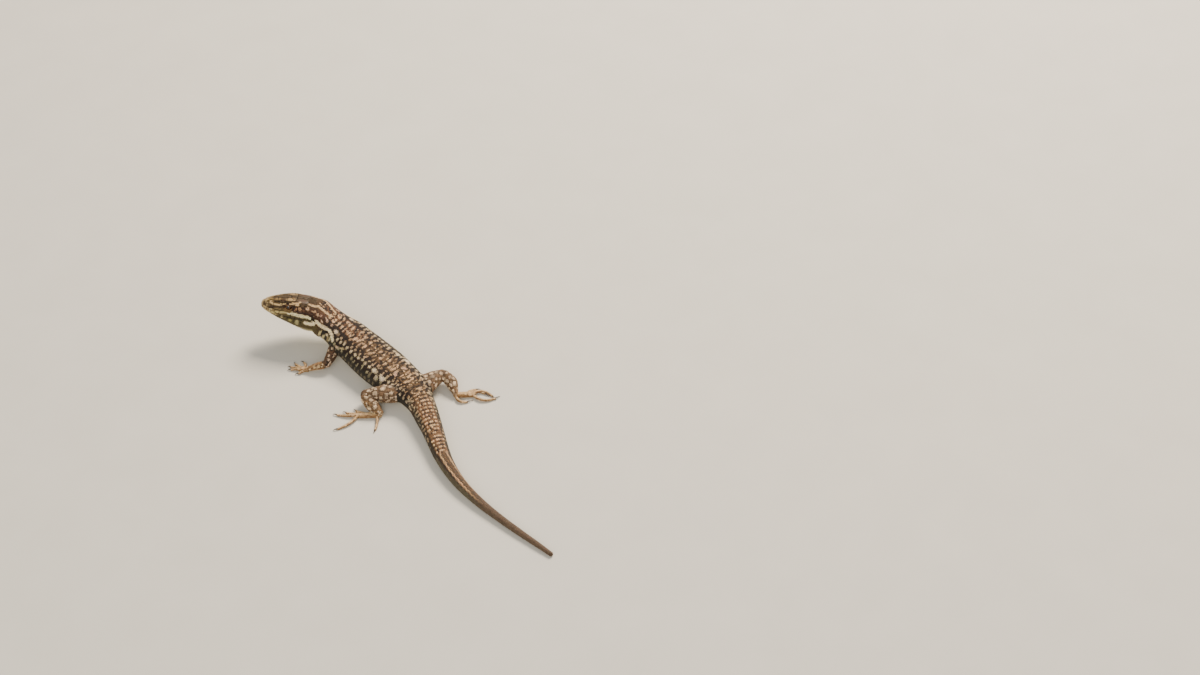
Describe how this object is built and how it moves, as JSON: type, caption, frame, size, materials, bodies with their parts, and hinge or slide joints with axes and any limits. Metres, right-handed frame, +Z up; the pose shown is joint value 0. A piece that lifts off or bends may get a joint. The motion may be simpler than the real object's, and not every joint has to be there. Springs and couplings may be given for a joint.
{
  "type": "common wall lizard",
  "caption": "Still, life-size wall lizard basking flat on the ground, head raised and turned left, with a regrown tail.",
  "frame": {"origin": "on the ground, under the middle of the animal's box", "axes": "-Y is the way the animal faces, +X its left, +Z up"},
  "size_m": [0.0448, 0.129, 0.0152],
  "materials": {
    "skin": "dry scaled skin, brown with dark and cream markings, satin",
    "eyes": "wet dark brown eye",
    "claws": "dark horn"
  },
  "bodies": {
    "root": {"head": "skin", "lower_jaw": "skin", "eye_left": "eyes", "eye_right": "eyes", "neck": "skin", "trunk_front": "skin", "trunk_back": "skin", "pelvis": "skin", "tail_base": "skin", "tail_regrown_front": "skin", "tail_regrown_middle": "skin", "tail_tip": "skin", "upper_arm_left": "skin", "forearm_left": "skin", "hand_left": "skin", "thigh_left": "skin", "shin_left": "skin", "foot_left": "skin", "upper_arm_right": "skin", "forearm_right": "skin", "hand_right": "skin", "thigh_right": "skin", "shin_right": "skin", "foot_right": "skin"}
  },
  "joints": []
}
